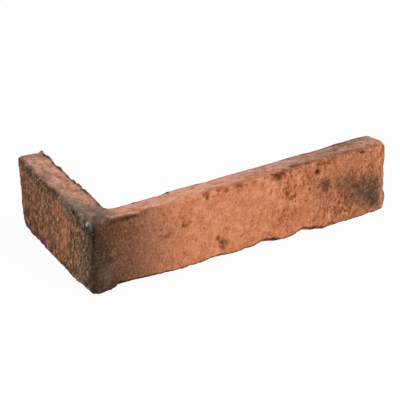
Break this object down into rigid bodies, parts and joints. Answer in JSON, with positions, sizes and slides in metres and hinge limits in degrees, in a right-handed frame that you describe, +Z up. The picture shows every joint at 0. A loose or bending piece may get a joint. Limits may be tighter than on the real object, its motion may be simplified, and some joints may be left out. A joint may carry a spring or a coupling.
{
  "type": "concrete corner brick slip",
  "caption": "L-shaped corner brick slip cast in one piece of coloured concrete, with a rough hand-moulded face, for the outside corner of a clad wall.",
  "frame": {"origin": "on the bed plane, under the middle of the bounding box, which is in the open inside of the L", "axes": "+X along the long stretcher leg towards its free end, +Y along the short header leg towards its free end, +Z up from the bed. The outside corner of the L is at -X, -Y"},
  "size_m": [0.215, 0.108, 0.051],
  "materials": {
    "concrete": "rough matt cast concrete, coloured terracotta, sooted and browned round the outside corner"
  },
  "bodies": {
    "root": {"corner_slip": "concrete"}
  },
  "joints": []
}
